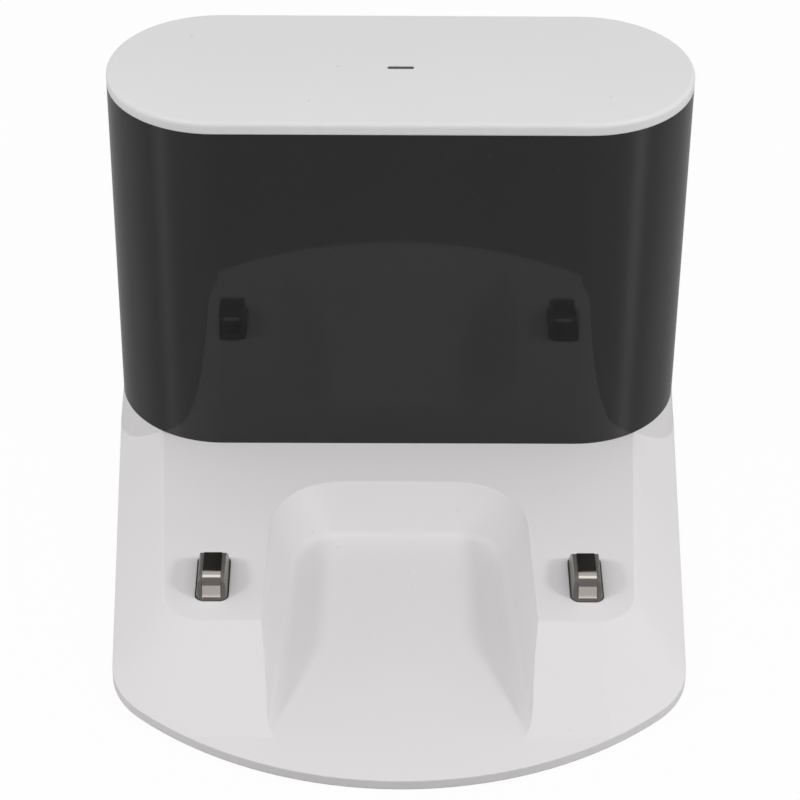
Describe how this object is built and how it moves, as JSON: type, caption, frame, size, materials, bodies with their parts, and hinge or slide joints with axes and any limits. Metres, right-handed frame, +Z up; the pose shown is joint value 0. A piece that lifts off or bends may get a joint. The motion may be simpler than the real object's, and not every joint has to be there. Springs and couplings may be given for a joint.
{
  "type": "robot vacuum charging dock",
  "caption": "Charging dock for a robot vacuum: a low ramped base with a caster channel and sprung contacts, and a tower with a dark front window and a cable bay behind.",
  "frame": {"origin": "middle of the footprint, on the floor that the feet stand on", "axes": "+Z up, -Y towards the open front of the base, +X to the right of someone who looks at the front"},
  "size_m": [0.1318, 0.151, 0.098],
  "materials": {
    "white_plastic": "fine satin moulding",
    "carrier_plastic": "dark grey, smooth moulding",
    "window_plastic": "polished, lets infrared through",
    "light_pipe": "smoked clear moulding",
    "contact_metal": "nickel plated",
    "inlet_plastic": "satin black",
    "pin_metal": "plated brass",
    "lead_sleeve": "soft insulated lead",
    "screw_steel": "zinc plated",
    "foot_rubber": "matt",
    "board": "solder mask",
    "ferrite": "sintered",
    "winding_tape": "polyester tape",
    "can_sleeve": "shrink sleeve",
    "chip_case": "moulded case",
    "fuse_body": "ceramic tube",
    "beacon_lens": "tinted lens",
    "indicator_case": "white case",
    "spring_steel": "drawn wire"
  },
  "bodies": {
    "dock": {"base_shell": "white_plastic", "top_cap": "white_plastic", "rear_housing": "white_plastic", "bottom_plate": "white_plastic", "front_window": "window_plastic", "light_pipe": "light_pipe", "mains_inlet": "inlet_plastic", "inlet_pins": "pin_metal", "inlet_leads": "lead_sleeve", "plate_screws": "screw_steel", "rubber_feet": "foot_rubber", "tower_screws": "screw_steel", "board_screws": "screw_steel", "power_board": "board", "beacon_board": "board", "transformer_core": "ferrite", "transformer_winding": "winding_tape", "bulk_capacitor": "can_sleeve", "output_capacitor": "can_sleeve", "rectifier": "chip_case", "fuse": "fuse_body", "beacon_leds": "beacon_lens", "indicator_led": "indicator_case", "link_leads": "lead_sleeve", "contact_spring_left": "spring_steel", "contact_spring_right": "spring_steel", "contact_lead_left": "lead_sleeve", "contact_lead_right": "lead_sleeve"},
    "contact_left": {"contact_carrier_left": "carrier_plastic", "contact_strip_left": "contact_metal"},
    "contact_right": {"contact_carrier_right": "carrier_plastic", "contact_strip_right": "contact_metal"}
  },
  "joints": [
    {"name": "contact_left_press", "type": "slide", "parent": "dock", "child": "contact_left", "axis": [0, 0, -1], "range_m": [0, 0.003], "stiffness_N_per_m": 300, "springref_m": -0.001, "deforming": ["contact_spring_left"]},
    {"name": "contact_right_press", "type": "slide", "parent": "dock", "child": "contact_right", "axis": [0, 0, -1], "range_m": [0, 0.003], "stiffness_N_per_m": 300, "springref_m": -0.001, "deforming": ["contact_spring_right"]}
  ]
}
